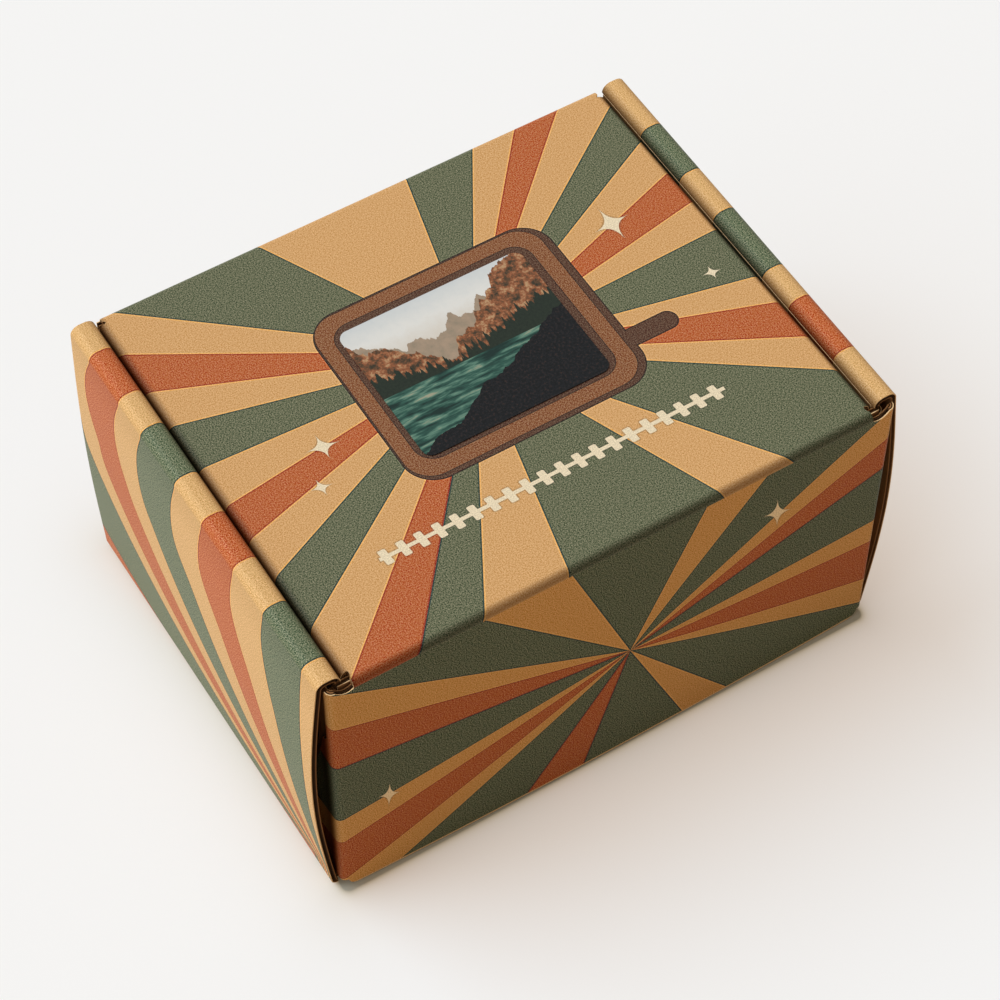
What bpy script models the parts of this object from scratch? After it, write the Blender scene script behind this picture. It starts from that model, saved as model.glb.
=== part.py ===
"""A corrugated keepsake box, folded from one die-cut sheet of printed board.

Roll-over side walls, tucked ears on the lid's front flap. X runs along the
front, from left to right, Y from the front to the back, Z up. The origin is
on the floor, in the middle of the box.
"""
import math

import bmesh
import bpy
from mathutils import Vector

# Driving sizes, in metres
INSIDE_WIDTH = 0.254            # between the two inner side walls
INSIDE_DEPTH = 0.206            # between the front wall and the back wall
INSIDE_HEIGHT = 0.150           # from the base panel to the lid panel
BOARD = 0.0025                  # thickness of the corrugated board
CREASE_RADIUS = 0.0007          # inside radius of a folded crease
SEAM = 0.0003                   # gap between two panels at a crease or a butt joint

# Clearances between the layers
LAYER_GAP = 0.0004              # between two layers that stay together
SLIDE_GAP = 0.0005              # on each side of an ear in its slot
LID_SIDE_GAP = 0.0008           # between the lid's side fold and the roll
FLAP_GAP = 0.0010               # between the lid's front flap and the front wall
WALL_END_GAP = 0.0005           # between an inner side wall and the front or back wall
SWING_GAP = 0.0008              # between a swinging edge and the wall that it passes

# Roll along the top of each side wall
ROLL_RISE = 0.0030              # how far the roll stands above the lid
ROLL_RADIUS = 0.0045            # outside radius of its two folds
ROLL_FRONT_SETBACK = 0.0045     # from the face of the front flap
ROLL_BACK_SETBACK = 0.0020      # from the face of the back wall
BOW_FRONT = 0.0055              # how far the outer side wall bulges at its front edge
BOW_BACK = 0.0020               # and at its back edge

# Lid, its flaps and ears
LID_RELIEF = 0.0015             # width of the slit between two creases at a corner
LID_CORNER_SHARE = 0.75         # how far the lid's front and back creases reach over a side fold
FLAP_FLOOR_GAP = 0.0010         # under the front flap
FLAP_CORNER = 0.0050            # corner radius of the front flap
FLAP_SHOULDER = 0.0025          # how far the front flap's shoulders lie below its crease
FLAP_BOW = 0.0020               # how far the middle of its lower edge bulges forward
EAR_TOP_DROP = 0.040            # from the lid's top to the ear's upper end
EAR_FLOOR_GAP = 0.007           # from the floor to the ear's lower edge
EAR_BASE_GAP = 0.0012           # between the swinging ear and the base panel
SIDE_FLAP_DROP = 0.050          # height of the lid's side flaps
SIDE_FLAP_CORNER = 0.012        # their lower corner radius

# Dust flaps, locking tabs and the photograph print
DUST_FLAP_REACH = 0.080         # along the side wall
DUST_FLAP_CORNER = 0.018        # corner radius
DUST_FLAP_TRIM = 0.0030         # how much lower than their wall they are cut, top and bottom
BACK_SHOULDER = 0.0040          # how far the back wall's shoulders lie below its crease
TAB_WIDTH = 0.030               # locking tab of an inner side wall
TAB_PLACE_SHARE = 0.25          # tab centres, as a share of the inside depth from each end
TAB_GAP = 0.0005                # between a tab and its slot
TAB_RECESS = 0.0005             # how far a tab stays above the base panel's underside
PRINT_WIDTH = 0.0900            # the glossy print on the lid
PRINT_DEPTH = 0.0750
PRINT_CORNER = 0.0080
PRINT_THICKNESS = 0.0003
PRINT_LIFT = 0.0002             # adhesive under the print
PRINT_SIDE_SHIFT = 0.0010       # of its middle, to the right of the lid's middle
PRINT_BACK_SHIFT = 0.0090       # of its middle, behind the lid's middle

CUT_OVERRUN = 0.004             # how far a cutter passes the board on each side

# Smoothness
FOLD_STEPS = 5                  # on half a crease
ROLL_STEPS = 8                  # on a quarter turn of the roll
CORNER_STEPS = 8                # on a rounded corner
SWING_STEPS = 14                # on a long swing arc
BOW_STEPS = 12                  # down a bowed wall
BOW_STATIONS = 5                # along a bowed wall
FLAP_CELLS = 6                  # across and down the bowed front flap
SHARP_ANGLE = math.radians(40)  # steeper edges stay sharp

# Colours of the board and of the print
TAN = (0.66, 0.37, 0.15, 1.0)
RUST = (0.49, 0.12, 0.05, 1.0)
GREEN = (0.13, 0.14, 0.08, 1.0)
KRAFT = (0.40, 0.24, 0.12, 1.0)
PHOTO = (0.25, 0.32, 0.34, 1.0)

# Worked out across the width, from the middle outwards
FOLD_RADIUS = BOARD + CREASE_RADIUS
LID_SIDE = INSIDE_WIDTH / 2 - LID_SIDE_GAP
INNER_WALL_IN = INSIDE_WIDTH / 2
DUST_OUT = INNER_WALL_IN + BOARD + LAYER_GAP + BOARD
EAR_OUT = DUST_OUT + SLIDE_GAP + BOARD
WALL_OUT = EAR_OUT + SLIDE_GAP + BOARD

# Worked out along the depth, from the front to the back
DEPTH = FLAP_BOW + BOARD + FLAP_GAP + BOARD + INSIDE_DEPTH + BOARD
FRONT = -DEPTH / 2 + FLAP_BOW
FRONT_WALL_OUT = FRONT + BOARD + FLAP_GAP
FRONT_WALL_IN = FRONT_WALL_OUT + BOARD
BACK_WALL_IN = FRONT_WALL_IN + INSIDE_DEPTH
BACK = BACK_WALL_IN + BOARD
ROLL_FRONT = FRONT + ROLL_FRONT_SETBACK
ROLL_BACK = BACK - ROLL_BACK_SETBACK

# Worked out up the height
LID_TOP = BOARD + INSIDE_HEIGHT + BOARD
WALL_TOP = LID_TOP - BOARD - SEAM
ROLL_TOP = LID_TOP + ROLL_RISE
ROLL_LEG = ROLL_TOP - ROLL_RADIUS

# Where the creases turn: outward folds turn about the outer skin, and the
# lid's side flaps, which fold inwards, about the inner skin
SKIN_OFFSET = FOLD_RADIUS * (1 - math.cos(math.pi / 4))
INNER_OFFSET = FOLD_RADIUS - CREASE_RADIUS * math.cos(math.pi / 4)
LID_HINGE = Vector((0, BACK - SKIN_OFFSET, LID_TOP - SKIN_OFFSET))
FRONT_FLAP_HINGE = Vector((0, FRONT + SKIN_OFFSET, LID_TOP - SKIN_OFFSET))
SIDE_FLAP_HINGE = Vector((LID_SIDE - INNER_OFFSET, 0, LID_TOP - INNER_OFFSET))

# Turns a flat panel so that its outer skin faces this way
FACING = {
    "top": (0, 0, 0),
    "bottom": (math.pi, 0, 0),
    "front": (math.pi / 2, 0, 0),
    "back": (math.pi / 2, 0, math.pi),
    "right": (math.pi / 2, 0, math.pi / 2),
    "left": (math.pi / 2, 0, -math.pi / 2),
}


def clear_scene():
    """Remove every object, so that the box is all there is."""
    for obj in list(bpy.data.objects):
        bpy.data.objects.remove(obj, do_unlink=True)


def add_pivot(name, place, parent=None):
    """An empty on a crease, which carries what turns there."""
    pivot = bpy.data.objects.new(name, None)
    bpy.context.scene.collection.objects.link(pivot)
    pivot["place"] = place
    pivot.parent = parent
    pivot.location = Vector(place) - place_of(parent)
    return pivot


def place_of(pivot):
    """Where a pivot lies in the world."""
    return Vector(pivot["place"]) if pivot else Vector((0, 0, 0))


def make_material(name, colour, roughness):
    """A plain matt or glossy finish."""
    material = bpy.data.materials.new(name)
    material.use_nodes = True
    shader = material.node_tree.nodes["Principled BSDF"]
    shader.inputs["Base Color"].default_value = colour
    shader.inputs["Roughness"].default_value = roughness
    shader.inputs["Metallic"].default_value = 0.0
    return material


def add_object(name, bm, colour, roughness=0.7, parent=None, origin=(0, 0, 0), facing="top"):
    """Link a finished mesh as a named piece."""
    bmesh.ops.recalc_face_normals(bm, faces=bm.faces)
    mesh = bpy.data.meshes.new(name)
    bm.to_mesh(mesh)
    bm.free()
    obj = bpy.data.objects.new(name, mesh)
    bpy.context.scene.collection.objects.link(obj)
    obj.data.materials.append(make_material(name, colour, roughness))
    obj.parent = parent
    obj.location = Vector(origin) - place_of(parent)
    obj.rotation_euler = FACING[facing]
    return obj


def smooth(obj):
    """Shade a rounded piece smooth, its real edges apart."""
    obj.data.shade_smooth()
    obj.data.set_sharp_from_angle(angle=SHARP_ANGLE)


def arc(centre, radius, start, end, steps):
    """Points on an arc, both ends among them. Angles in radians."""
    turns = [start + (end - start) * k / steps for k in range(steps + 1)]
    return [(centre[0] + radius * math.cos(a), centre[1] + radius * math.sin(a)) for a in turns]


def rounded_rectangle(half_width, half_depth, corner):
    """Counter-clockwise outline about (0, 0)."""
    points = []
    for k, (sx, sy) in enumerate(((1, 1), (-1, 1), (-1, -1), (1, -1))):
        centre = (sx * (half_width - corner), sy * (half_depth - corner))
        points += arc(centre, corner, k * math.pi / 2, (k + 1) * math.pi / 2, CORNER_STEPS)
    return points


def mirrored(outline, folds):
    """The same outline with its first coordinate negated, still counter-clockwise."""
    count = len(outline)
    points = [(-u, v) for u, v in reversed(outline)]
    return points, {(count - 2 - k) % count for k in folds}


def half_crease():
    """Section of half a rounded crease: distance past the panel's edge, and height."""
    half_turn = math.pi / 4
    outer_end = half_turn - math.asin(SEAM / 2 / FOLD_RADIUS)
    inner_end = half_turn - math.asin(SEAM / 2 / CREASE_RADIUS)
    section = []
    for k in range(1, FOLD_STEPS + 1):
        a = outer_end * k / FOLD_STEPS
        section.append((FOLD_RADIUS * math.sin(a), FOLD_RADIUS * math.cos(a) - FOLD_RADIUS))
    for k in range(FOLD_STEPS, 0, -1):
        a = inner_end * k / FOLD_STEPS
        section.append((CREASE_RADIUS * math.sin(a), CREASE_RADIUS * math.cos(a) - FOLD_RADIUS))
    return section


def sheet_mesh(outline, folds, thickness):
    """A flat panel, outer skin at height 0, with half a crease along each fold.

    The outline is counter-clockwise. Fold k runs from point k to the next.
    """
    bm = bmesh.new()
    top = [bm.verts.new((u, v, 0)) for u, v in outline]
    low = [bm.verts.new((u, v, -thickness)) for u, v in outline]
    bm.faces.new(top)
    bm.faces.new(list(reversed(low)))
    for k in range(len(outline)):
        n = (k + 1) % len(outline)
        if k not in folds:
            bm.faces.new((top[k], low[k], low[n], top[n]))
            continue
        along = (Vector(outline[n]) - Vector(outline[k])).normalized()
        outward = Vector((along.y, -along.x))
        chains = []
        for end in (k, n):
            chain = [top[end]]
            for reach, height in half_crease():
                u, v = Vector(outline[end]) + outward * reach
                chain.append(bm.verts.new((u, v, height)))
            chain.append(low[end])
            chains.append(chain)
        first, last = chains
        for a in range(len(first) - 1):
            bm.faces.new((first[a], first[a + 1], last[a + 1], last[a]))
        bm.faces.new(list(reversed(first)))
        bm.faces.new(last)
    return bm


def sheet(name, outline, folds, facing, origin, colour, parent=None, thickness=BOARD):
    """A flat panel of board as a named piece."""
    bm = sheet_mesh(outline, folds, thickness)
    return add_object(name, bm, colour, parent=parent, origin=origin, facing=facing)


def side_sheet(name, side, outline, folds, distance, colour, parent=None, printed_inwards=False):
    """An upright panel along a side. The outline holds (y, z) as seen from the right."""
    faces_right = (side > 0) != printed_inwards
    if not faces_right:
        outline, folds = mirrored(outline, folds)
    facing = "right" if faces_right else "left"
    return sheet(name, outline, folds, facing, (side * distance, 0, 0), colour, parent)


def circle_meet(first, first_radius, second, second_radius):
    """The lower of the two points where two circles in the (y, z) plane meet."""
    gap = Vector(second) - Vector(first)
    distance = gap.length
    along = (distance ** 2 + first_radius ** 2 - second_radius ** 2) / (2 * distance)
    across = math.sqrt(first_radius ** 2 - along ** 2)
    unit = gap / distance
    middle = Vector(first) + unit * along
    square = Vector((-unit.y, unit.x)) * across
    return min((middle + square, middle - square), key=lambda point: point.y)


def tab_centres():
    """Where the locking tabs lie along a side wall."""
    inset = INSIDE_DEPTH * TAB_PLACE_SHARE
    return (FRONT_WALL_IN + inset, BACK_WALL_IN - inset)


def add_base():
    """The bottom panel, with a slot for each locking tab."""
    front, back = FRONT_WALL_OUT + FOLD_RADIUS, BACK - FOLD_RADIUS
    side = WALL_OUT - FOLD_RADIUS
    front_half, back_half = DUST_OUT - FOLD_RADIUS, EAR_OUT - FOLD_RADIUS
    outline = [(-side, -back), (-back_half, -back), (back_half, -back), (side, -back),
               (side, -front), (front_half, -front), (-front_half, -front), (-side, -front)]
    base = sheet("base_panel", outline, {1, 3, 5, 7}, "bottom", (0, 0, 0), KRAFT)

    bm = bmesh.new()
    wide = BOARD + 2 * TAB_GAP
    long = TAB_WIDTH + 2 * TAB_GAP
    deep = BOARD + 2 * CUT_OVERRUN
    for side in (-1, 1):
        for centre in tab_centres():
            box = bmesh.ops.create_cube(bm, size=1)
            place = Vector((side * (INNER_WALL_IN + BOARD / 2), centre, BOARD / 2))
            bmesh.ops.scale(bm, vec=(wide, long, deep), verts=box["verts"])
            bmesh.ops.translate(bm, vec=place, verts=box["verts"])
    cutter = add_object("slot_cutter", bm, KRAFT)
    cutter.hide_render = True
    cutter.display_type = "WIRE"
    cut = base.modifiers.new("slots", "BOOLEAN")
    cut.operation = "DIFFERENCE"
    cut.object = cutter


def add_front_wall():
    """The tray's front wall, behind the lid's front flap."""
    half = DUST_OUT - FOLD_RADIUS
    outline = [(-half, FOLD_RADIUS), (half, FOLD_RADIUS), (half, WALL_TOP), (-half, WALL_TOP)]
    sheet("front_wall", outline, {0, 1, 3}, "front", (0, FRONT_WALL_OUT, 0), KRAFT)


def add_back_wall():
    """The back wall, which carries the lid's crease."""
    half = EAR_OUT - FOLD_RADIUS
    crease_half = lid_crease_half()
    crease = LID_TOP - FOLD_RADIUS
    shoulder = crease - BACK_SHOULDER
    outline = [(-half, FOLD_RADIUS), (half, FOLD_RADIUS), (half, shoulder), (crease_half, shoulder),
               (crease_half, crease), (-crease_half, crease), (-crease_half, shoulder), (-half, shoulder)]
    sheet("back_wall", outline, {0, 1, 4, 7}, "back", (0, BACK, 0), GREEN)


def add_dust_flaps(side, side_name):
    """The flaps that turn in behind the side walls, at the front and at the back."""
    low, high = FOLD_RADIUS + DUST_FLAP_TRIM, WALL_TOP - DUST_FLAP_TRIM
    corner = DUST_FLAP_CORNER

    near = FRONT_WALL_OUT + FOLD_RADIUS
    far = FRONT_WALL_IN + DUST_FLAP_REACH
    outline = [(near, low)]
    outline += arc((far - corner, low + corner), corner, -math.pi / 2, 0, CORNER_STEPS)
    outline += arc((far - corner, high - corner), corner, 0, math.pi / 2, CORNER_STEPS)
    outline.append((near, high))
    fold = {len(outline) - 1}
    side_sheet(f"front_{side_name}_dust_flap", side, outline, fold, DUST_OUT, KRAFT)

    near = BACK - FOLD_RADIUS
    far = BACK_WALL_IN - DUST_FLAP_REACH
    high = LID_TOP - FOLD_RADIUS - BACK_SHOULDER - DUST_FLAP_TRIM
    outline = [(near, low), (near, high)]
    outline += arc((far + corner, high - corner), corner, math.pi / 2, math.pi, CORNER_STEPS)
    outline += arc((far + corner, low + corner), corner, math.pi, 3 * math.pi / 2, CORNER_STEPS)
    side_sheet(f"back_{side_name}_dust_flap", side, outline, {0}, EAR_OUT, KRAFT)


def add_inner_wall(side, side_name):
    """The side wall's inner layer, locked into the base by two tabs."""
    near, far = FRONT_WALL_IN + WALL_END_GAP, BACK_WALL_IN - WALL_END_GAP
    low, high = BOARD + SEAM, ROLL_LEG - SEAM
    outline = [(near, low)]
    for centre in tab_centres():
        for place, height in ((-1, low), (-1, TAB_RECESS), (1, TAB_RECESS), (1, low)):
            outline.append((centre + place * TAB_WIDTH / 2, height))
    outline += [(far, low), (far, high), (near, high)]
    side_sheet(f"{side_name}_inner_wall", side, outline, set(), INNER_WALL_IN, TAN, printed_inwards=True)


def loft(sections):
    """Join closed sections of equal length into one capped solid."""
    bm = bmesh.new()
    rings = [[bm.verts.new(point) for point in section] for section in sections]
    count = len(rings[0])
    for near, far in zip(rings, rings[1:]):
        for k in range(count):
            n = (k + 1) % count
            bm.faces.new((near[k], near[n], far[n], far[k]))
    bm.faces.new(rings[0])
    bm.faces.new(list(reversed(rings[-1])))
    return bm


def wall_section(bow):
    """Section of a bowed outer side wall, as (distance from the middle, height)."""
    top = ROLL_LEG - SEAM
    outer, inner = [], []
    for k in range(BOW_STEPS + 1):
        share = k / BOW_STEPS
        height = top + (FOLD_RADIUS - top) * share
        bulge = bow * math.sin(math.pi * share)
        outer.append((WALL_OUT + bulge, height))
        inner.append((WALL_OUT + bulge - BOARD, height))
    crease = half_crease()
    skin = [(WALL_OUT + depth, FOLD_RADIUS - reach) for reach, depth in crease[:FOLD_STEPS]]
    lining = [(WALL_OUT + depth, FOLD_RADIUS - reach) for reach, depth in crease[FOLD_STEPS:]]
    return outer + skin + lining + list(reversed(inner))


def add_outer_wall(side, side_name):
    """The printed outer side wall, bulging more at the front than at the back."""
    sections = []
    for k in range(BOW_STATIONS):
        share = k / (BOW_STATIONS - 1)
        y = ROLL_FRONT + (ROLL_BACK - ROLL_FRONT) * share
        bow = BOW_FRONT + (BOW_BACK - BOW_FRONT) * share
        sections.append([(side * x, y, z) for x, z in wall_section(bow)])
    smooth(add_object(f"{side_name}_outer_wall", loft(sections), TAN))


def roll_section():
    """Section of the roll that joins the outer side wall to the inner one."""
    out = (WALL_OUT - ROLL_RADIUS, ROLL_LEG)
    home = (INNER_WALL_IN + ROLL_RADIUS, ROLL_LEG)
    lining = ROLL_RADIUS - BOARD
    quarter = math.pi / 2
    section = arc(out, ROLL_RADIUS, 0, quarter, ROLL_STEPS)
    section += arc(home, ROLL_RADIUS, quarter, 2 * quarter, ROLL_STEPS)
    section += arc(home, lining, 2 * quarter, quarter, ROLL_STEPS)
    section += arc(out, lining, quarter, 0, ROLL_STEPS)
    return section


def add_roll(side, side_name):
    """The rounded strip along the top of a side wall."""
    section = roll_section()
    ends = [[(side * x, y, z) for x, z in section] for y in (ROLL_FRONT, ROLL_BACK)]
    smooth(add_object(f"{side_name}_top_roll", loft(ends), RUST))


def lid_crease_half():
    """Half the length of the lid's front and back creases."""
    return LID_SIDE - FOLD_RADIUS + FOLD_RADIUS * LID_CORNER_SHARE


def lid_side_crease():
    """Front and back ends of the lid's side creases."""
    front = FRONT_WALL_IN + SWING_GAP + LID_RELIEF
    back = BACK_WALL_IN - SWING_GAP - LID_RELIEF
    return front, back


def add_lid(pivot):
    """The top panel, creased on all four sides."""
    front, back = FRONT + FOLD_RADIUS, BACK - FOLD_RADIUS
    half = lid_crease_half()
    side = LID_SIDE - FOLD_RADIUS
    near, far = lid_side_crease()
    notch_near, notch_far = near - LID_RELIEF, far + LID_RELIEF
    right = [(half, front), (half, notch_near), (side, notch_near), (side, near),
             (side, far), (side, notch_far), (half, notch_far), (half, back)]
    left = [(-x, y) for x, y in reversed(right)]
    outline = right + left
    folds = {3, 7, 11, 15}
    sheet("lid_panel", outline, folds, "top", (0, 0, LID_TOP), GREEN, pivot)


def add_photo_print(pivot):
    """The glossy print stuck on the lid."""
    outline = rounded_rectangle(PRINT_WIDTH / 2, PRINT_DEPTH / 2, PRINT_CORNER)
    bm = sheet_mesh(outline, set(), PRINT_THICKNESS)
    place = (PRINT_SIDE_SHIFT, PRINT_BACK_SHIFT, LID_TOP + PRINT_LIFT + PRINT_THICKNESS)
    add_object("photo_print", bm, PHOTO, roughness=0.25, parent=pivot, origin=place)


def bow_panel(bm, half_width, low, high):
    """Bulge a flat panel outwards, most in the middle of its lower edge."""
    for k in range(1, FLAP_CELLS):
        share = k / FLAP_CELLS
        across = (half_width * (2 * share - 1), 0, 0)
        up = (0, low + (high - low) * share, 0)
        for place, normal in ((across, (1, 0, 0)), (up, (0, 1, 0))):
            whole = [*bm.verts, *bm.edges, *bm.faces]
            bmesh.ops.bisect_plane(bm, geom=whole, plane_co=place, plane_no=normal)
    for vert in bm.verts:
        side_share = max(0, 1 - (vert.co.x / half_width) ** 2)
        drop_share = min(1, max(0, (high - vert.co.y) / (high - low)))
        vert.co.z += FLAP_BOW * side_share * drop_share


def add_front_flap(pivot):
    """The printed panel that hangs from the lid, in front of the front wall."""
    half = EAR_OUT - FOLD_RADIUS
    crease_half = lid_crease_half()
    crease = LID_TOP - FOLD_RADIUS
    shoulder = crease - FLAP_SHOULDER
    low, corner = FLAP_FLOOR_GAP, FLAP_CORNER
    right = arc((half - corner, low + corner), corner, -math.pi / 2, 0, CORNER_STEPS)
    side_fold = len(right) - 1
    right += [(half, shoulder), (crease_half, shoulder), (crease_half, crease)]
    top_fold = len(right) - 1
    left = [(-x, z) for x, z in reversed(right)]
    outline = right + left
    folds = {side_fold, top_fold, 2 * top_fold - side_fold}
    bm = sheet_mesh(outline, folds, BOARD)
    bow_panel(bm, half, low, crease)
    smooth(add_object("lid_front_flap", bm, RUST, parent=pivot, origin=(0, FRONT, 0), facing="front"))


def ear_outline():
    """Outline of an ear as (y, z), and its fold.

    Its back edge is an arc about the lid's crease, so that it passes in front
    of the roll, and its lower edge is an arc about the front crease, so that
    it passes over the base.
    """
    lid_hinge = (LID_HINGE.y, LID_HINGE.z)
    flap_hinge = (FRONT_FLAP_HINGE.y, FRONT_FLAP_HINGE.z)
    back_radius = LID_HINGE.y - ROLL_FRONT + SLIDE_GAP
    low_radius = FRONT_FLAP_HINGE.z - BOARD - EAR_BASE_GAP
    near = FRONT + FOLD_RADIUS
    low, high = EAR_FLOOR_GAP, LID_TOP - EAR_TOP_DROP
    tip = circle_meet(lid_hinge, back_radius, flap_hinge, low_radius)

    low_start = -math.acos(math.sqrt(low_radius ** 2 - (flap_hinge[1] - low) ** 2) / low_radius)
    low_end = math.atan2(tip.y - flap_hinge[1], tip.x - flap_hinge[0])
    back_start = math.atan2(tip.y - lid_hinge[1], tip.x - lid_hinge[0]) % (2 * math.pi)
    back_end = math.pi + math.asin((lid_hinge[1] - high) / back_radius)
    outline = [(near, low)]
    outline += arc(flap_hinge, low_radius, low_start, low_end, SWING_STEPS)
    outline += arc(lid_hinge, back_radius, back_start, back_end, SWING_STEPS)[1:]
    outline.append((near, high))
    return outline, {len(outline) - 1}


def add_ears(pivot):
    """The ears, which tuck in behind the outer side walls."""
    outline, fold = ear_outline()
    for side, side_name in ((-1, "left"), (1, "right")):
        side_sheet(f"lid_front_{side_name}_ear", side, outline, fold, EAR_OUT, KRAFT, pivot)


def side_flap_outline():
    """Outline of a lid side flap as (y, z), and its fold.

    Its front edge is an arc about the lid's crease, inside the front wall.
    """
    near, far = lid_side_crease()
    crease = LID_TOP - FOLD_RADIUS
    low = crease - SIDE_FLAP_DROP
    corner = SIDE_FLAP_CORNER
    radius = LID_HINGE.y - FRONT_WALL_IN - SWING_GAP - LID_RELIEF
    outline = arc((far - corner, low + corner), corner, -math.pi / 2, 0, CORNER_STEPS)
    outline.append((far, crease))
    fold = {len(outline) - 1}
    start = math.pi + math.asin((LID_HINGE.z - crease) / radius)
    end = math.pi + math.asin((LID_HINGE.z - low - corner) / radius)
    edge = arc((LID_HINGE.y, LID_HINGE.z), radius, start, end, SWING_STEPS)
    outline += edge
    foot = edge[-1][0] + corner
    outline += arc((foot, low + corner), corner, math.pi, 3 * math.pi / 2, CORNER_STEPS)[1:]
    return outline, fold


def add_side_flaps(lid_pivot):
    """The flaps that hang from the lid's sides, inside the side walls."""
    outline, fold = side_flap_outline()
    for side, side_name in ((-1, "left"), (1, "right")):
        place = (side * SIDE_FLAP_HINGE.x, 0, SIDE_FLAP_HINGE.z)
        pivot = add_pivot(f"{side_name}_side_flap_pivot", place, lid_pivot)
        side_sheet(f"lid_{side_name}_side_flap", side, outline, fold, LID_SIDE, TAN, pivot)


def main():
    """Build the box, closed."""
    clear_scene()
    add_base()
    add_front_wall()
    add_back_wall()
    for side, side_name in ((-1, "left"), (1, "right")):
        add_dust_flaps(side, side_name)
        add_inner_wall(side, side_name)
        add_outer_wall(side, side_name)
        add_roll(side, side_name)

    lid_pivot = add_pivot("lid_pivot", LID_HINGE)
    add_lid(lid_pivot)
    add_photo_print(lid_pivot)
    add_side_flaps(lid_pivot)
    front_pivot = add_pivot("front_flap_pivot", FRONT_FLAP_HINGE, lid_pivot)
    add_front_flap(front_pivot)
    add_ears(front_pivot)


main()
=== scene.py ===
"""Looks of the keepsake box: printed corrugated board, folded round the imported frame.

Every panel is a sandwich of two liners with a fluted sheet between them, and
every crease is a rounded strip. Lengths are in metres, and the axes are the
frame's: X along the front, Y to the back, Z up.
"""
import math

import bmesh
import bpy
from mathutils import Matrix, Vector


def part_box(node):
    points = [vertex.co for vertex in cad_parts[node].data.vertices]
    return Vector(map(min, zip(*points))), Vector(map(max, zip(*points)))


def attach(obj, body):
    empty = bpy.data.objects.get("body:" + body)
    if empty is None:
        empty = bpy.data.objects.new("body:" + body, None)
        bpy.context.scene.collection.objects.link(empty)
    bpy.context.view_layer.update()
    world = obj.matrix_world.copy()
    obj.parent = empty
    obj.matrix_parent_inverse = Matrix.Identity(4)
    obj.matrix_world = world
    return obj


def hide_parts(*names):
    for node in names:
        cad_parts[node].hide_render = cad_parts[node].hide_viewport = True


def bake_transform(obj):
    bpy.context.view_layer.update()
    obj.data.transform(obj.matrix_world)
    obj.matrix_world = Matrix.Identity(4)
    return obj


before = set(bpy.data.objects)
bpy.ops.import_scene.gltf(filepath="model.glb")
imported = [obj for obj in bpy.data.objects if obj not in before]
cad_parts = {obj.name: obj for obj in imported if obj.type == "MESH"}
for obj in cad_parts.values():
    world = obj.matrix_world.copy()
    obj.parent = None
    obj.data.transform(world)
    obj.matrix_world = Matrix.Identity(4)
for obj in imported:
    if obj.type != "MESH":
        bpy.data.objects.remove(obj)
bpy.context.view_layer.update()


def low(node):
    """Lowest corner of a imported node."""
    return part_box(node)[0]


def high(node):
    """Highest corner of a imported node."""
    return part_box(node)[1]


# Sizes of the board
BOARD = high("right_inner_wall").x - low("right_inner_wall").x
CREASE_RADIUS = 0.0007          # inside radius of a folded crease
FOLD = BOARD + CREASE_RADIUS    # outside radius
QUARTER = FOLD * math.pi / 2    # length of the outer skin round a crease
LINER = 0.0004                  # thickness of each liner, with its crushed edge
FLUTE_PAPER = 0.0003            # thickness of the fluted sheet
FLUTE_PITCH = 0.0063            # from one flute to the next

# Places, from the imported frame
LID_TOP = high("lid_panel").z
LID_SIDE = high("lid_right_side_flap").x
FLAP_BOW = 0.0020               # bulge of the front flap's lower edge
FRONT = low("lid_front_flap").y + FLAP_BOW
BACK = high("back_wall").y
FLAP_LOW = low("lid_front_flap").z
FRONT_WALL_OUT = low("front_wall").y
WALL_OUT = high("right_top_roll").x
INNER_WALL_IN = low("right_top_roll").x
DUST_OUT = high("front_right_dust_flap").x
EAR_OUT = high("lid_front_right_ear").x
ROLL_TOP = high("right_top_roll").z
ROLL_LEG = low("right_top_roll").z
ROLL_RADIUS = ROLL_TOP - ROLL_LEG
ROLL_TURN = ROLL_RADIUS * math.pi / 2       # length of the outer skin round each corner of a roll
ROLL_FLAT = WALL_OUT - INNER_WALL_IN - 2 * ROLL_RADIUS
ROLL_END = ROLL_LEG + 2 * ROLL_TURN + ROLL_FLAT     # and up a side wall and over its roll
ROLL_FRONT = low("right_top_roll").y
ROLL_BACK = high("right_top_roll").y
BOW_FRONT = high("right_outer_wall").x - WALL_OUT
BOW_BACK = 0.0020               # bulge of the side walls at their back edge
FLAP_CORNER = 0.0050            # radius of the front flap's lower corners
FLAP_SHOULDER = 0.0022          # its shoulders rise this far above its crease's lower edge
FLAP_SCOOP = 0.0030             # its top edge is drawn down by this between crease and shoulder
CREASE_END = 0.1238             # half length of the lid's front and back creases
CORNER_SCOOP = 0.0014           # the round relief at the lid's corners is drawn in by this
CORNER_RUN = 0.0034             # and is this long
PRINT_LOW = low("photo_print")
PRINT_HIGH = high("photo_print")
PRINT_CORNER = 0.0045           # radius of the picture's corners
EAR_MARGIN = 0.0008             # the ear runs on up its fold in a strip this wide
EAR_TAPER = 4 * EAR_MARGIN      # whose ends taper over this length

# Smoothness
FOLD_STEPS = 12                 # round a crease
ROLL_STEPS = 14                 # round each corner of a roll
BOW_STEPS = 20                  # down a bowed wall
BOW_STATIONS = 6                # along it
FLAP_CELLS = 14                 # across and down the bowed front flap
WAVE_STEPS = 8                  # on one flute
ARC_STEPS = 8                   # on a rounded corner
SHARP_ANGLE = math.radians(35)
SAME_PLACE = 1e-4               # corners nearer than this are taken as one
SAME_LEVEL = 1e-5               # faces this close in level lie on one skin
SAME_WAY = 0.999                # cosine between faces that point the same way
CUT_REACH = 1e-7                # a corner this close to a cut lies on it
STRAIGHT = 1e-4                 # sine of the bend below which a corner is left out

X = Vector((1, 0, 0))
Y = Vector((0, 1, 0))
Z = Vector((0, 0, 1))
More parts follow.
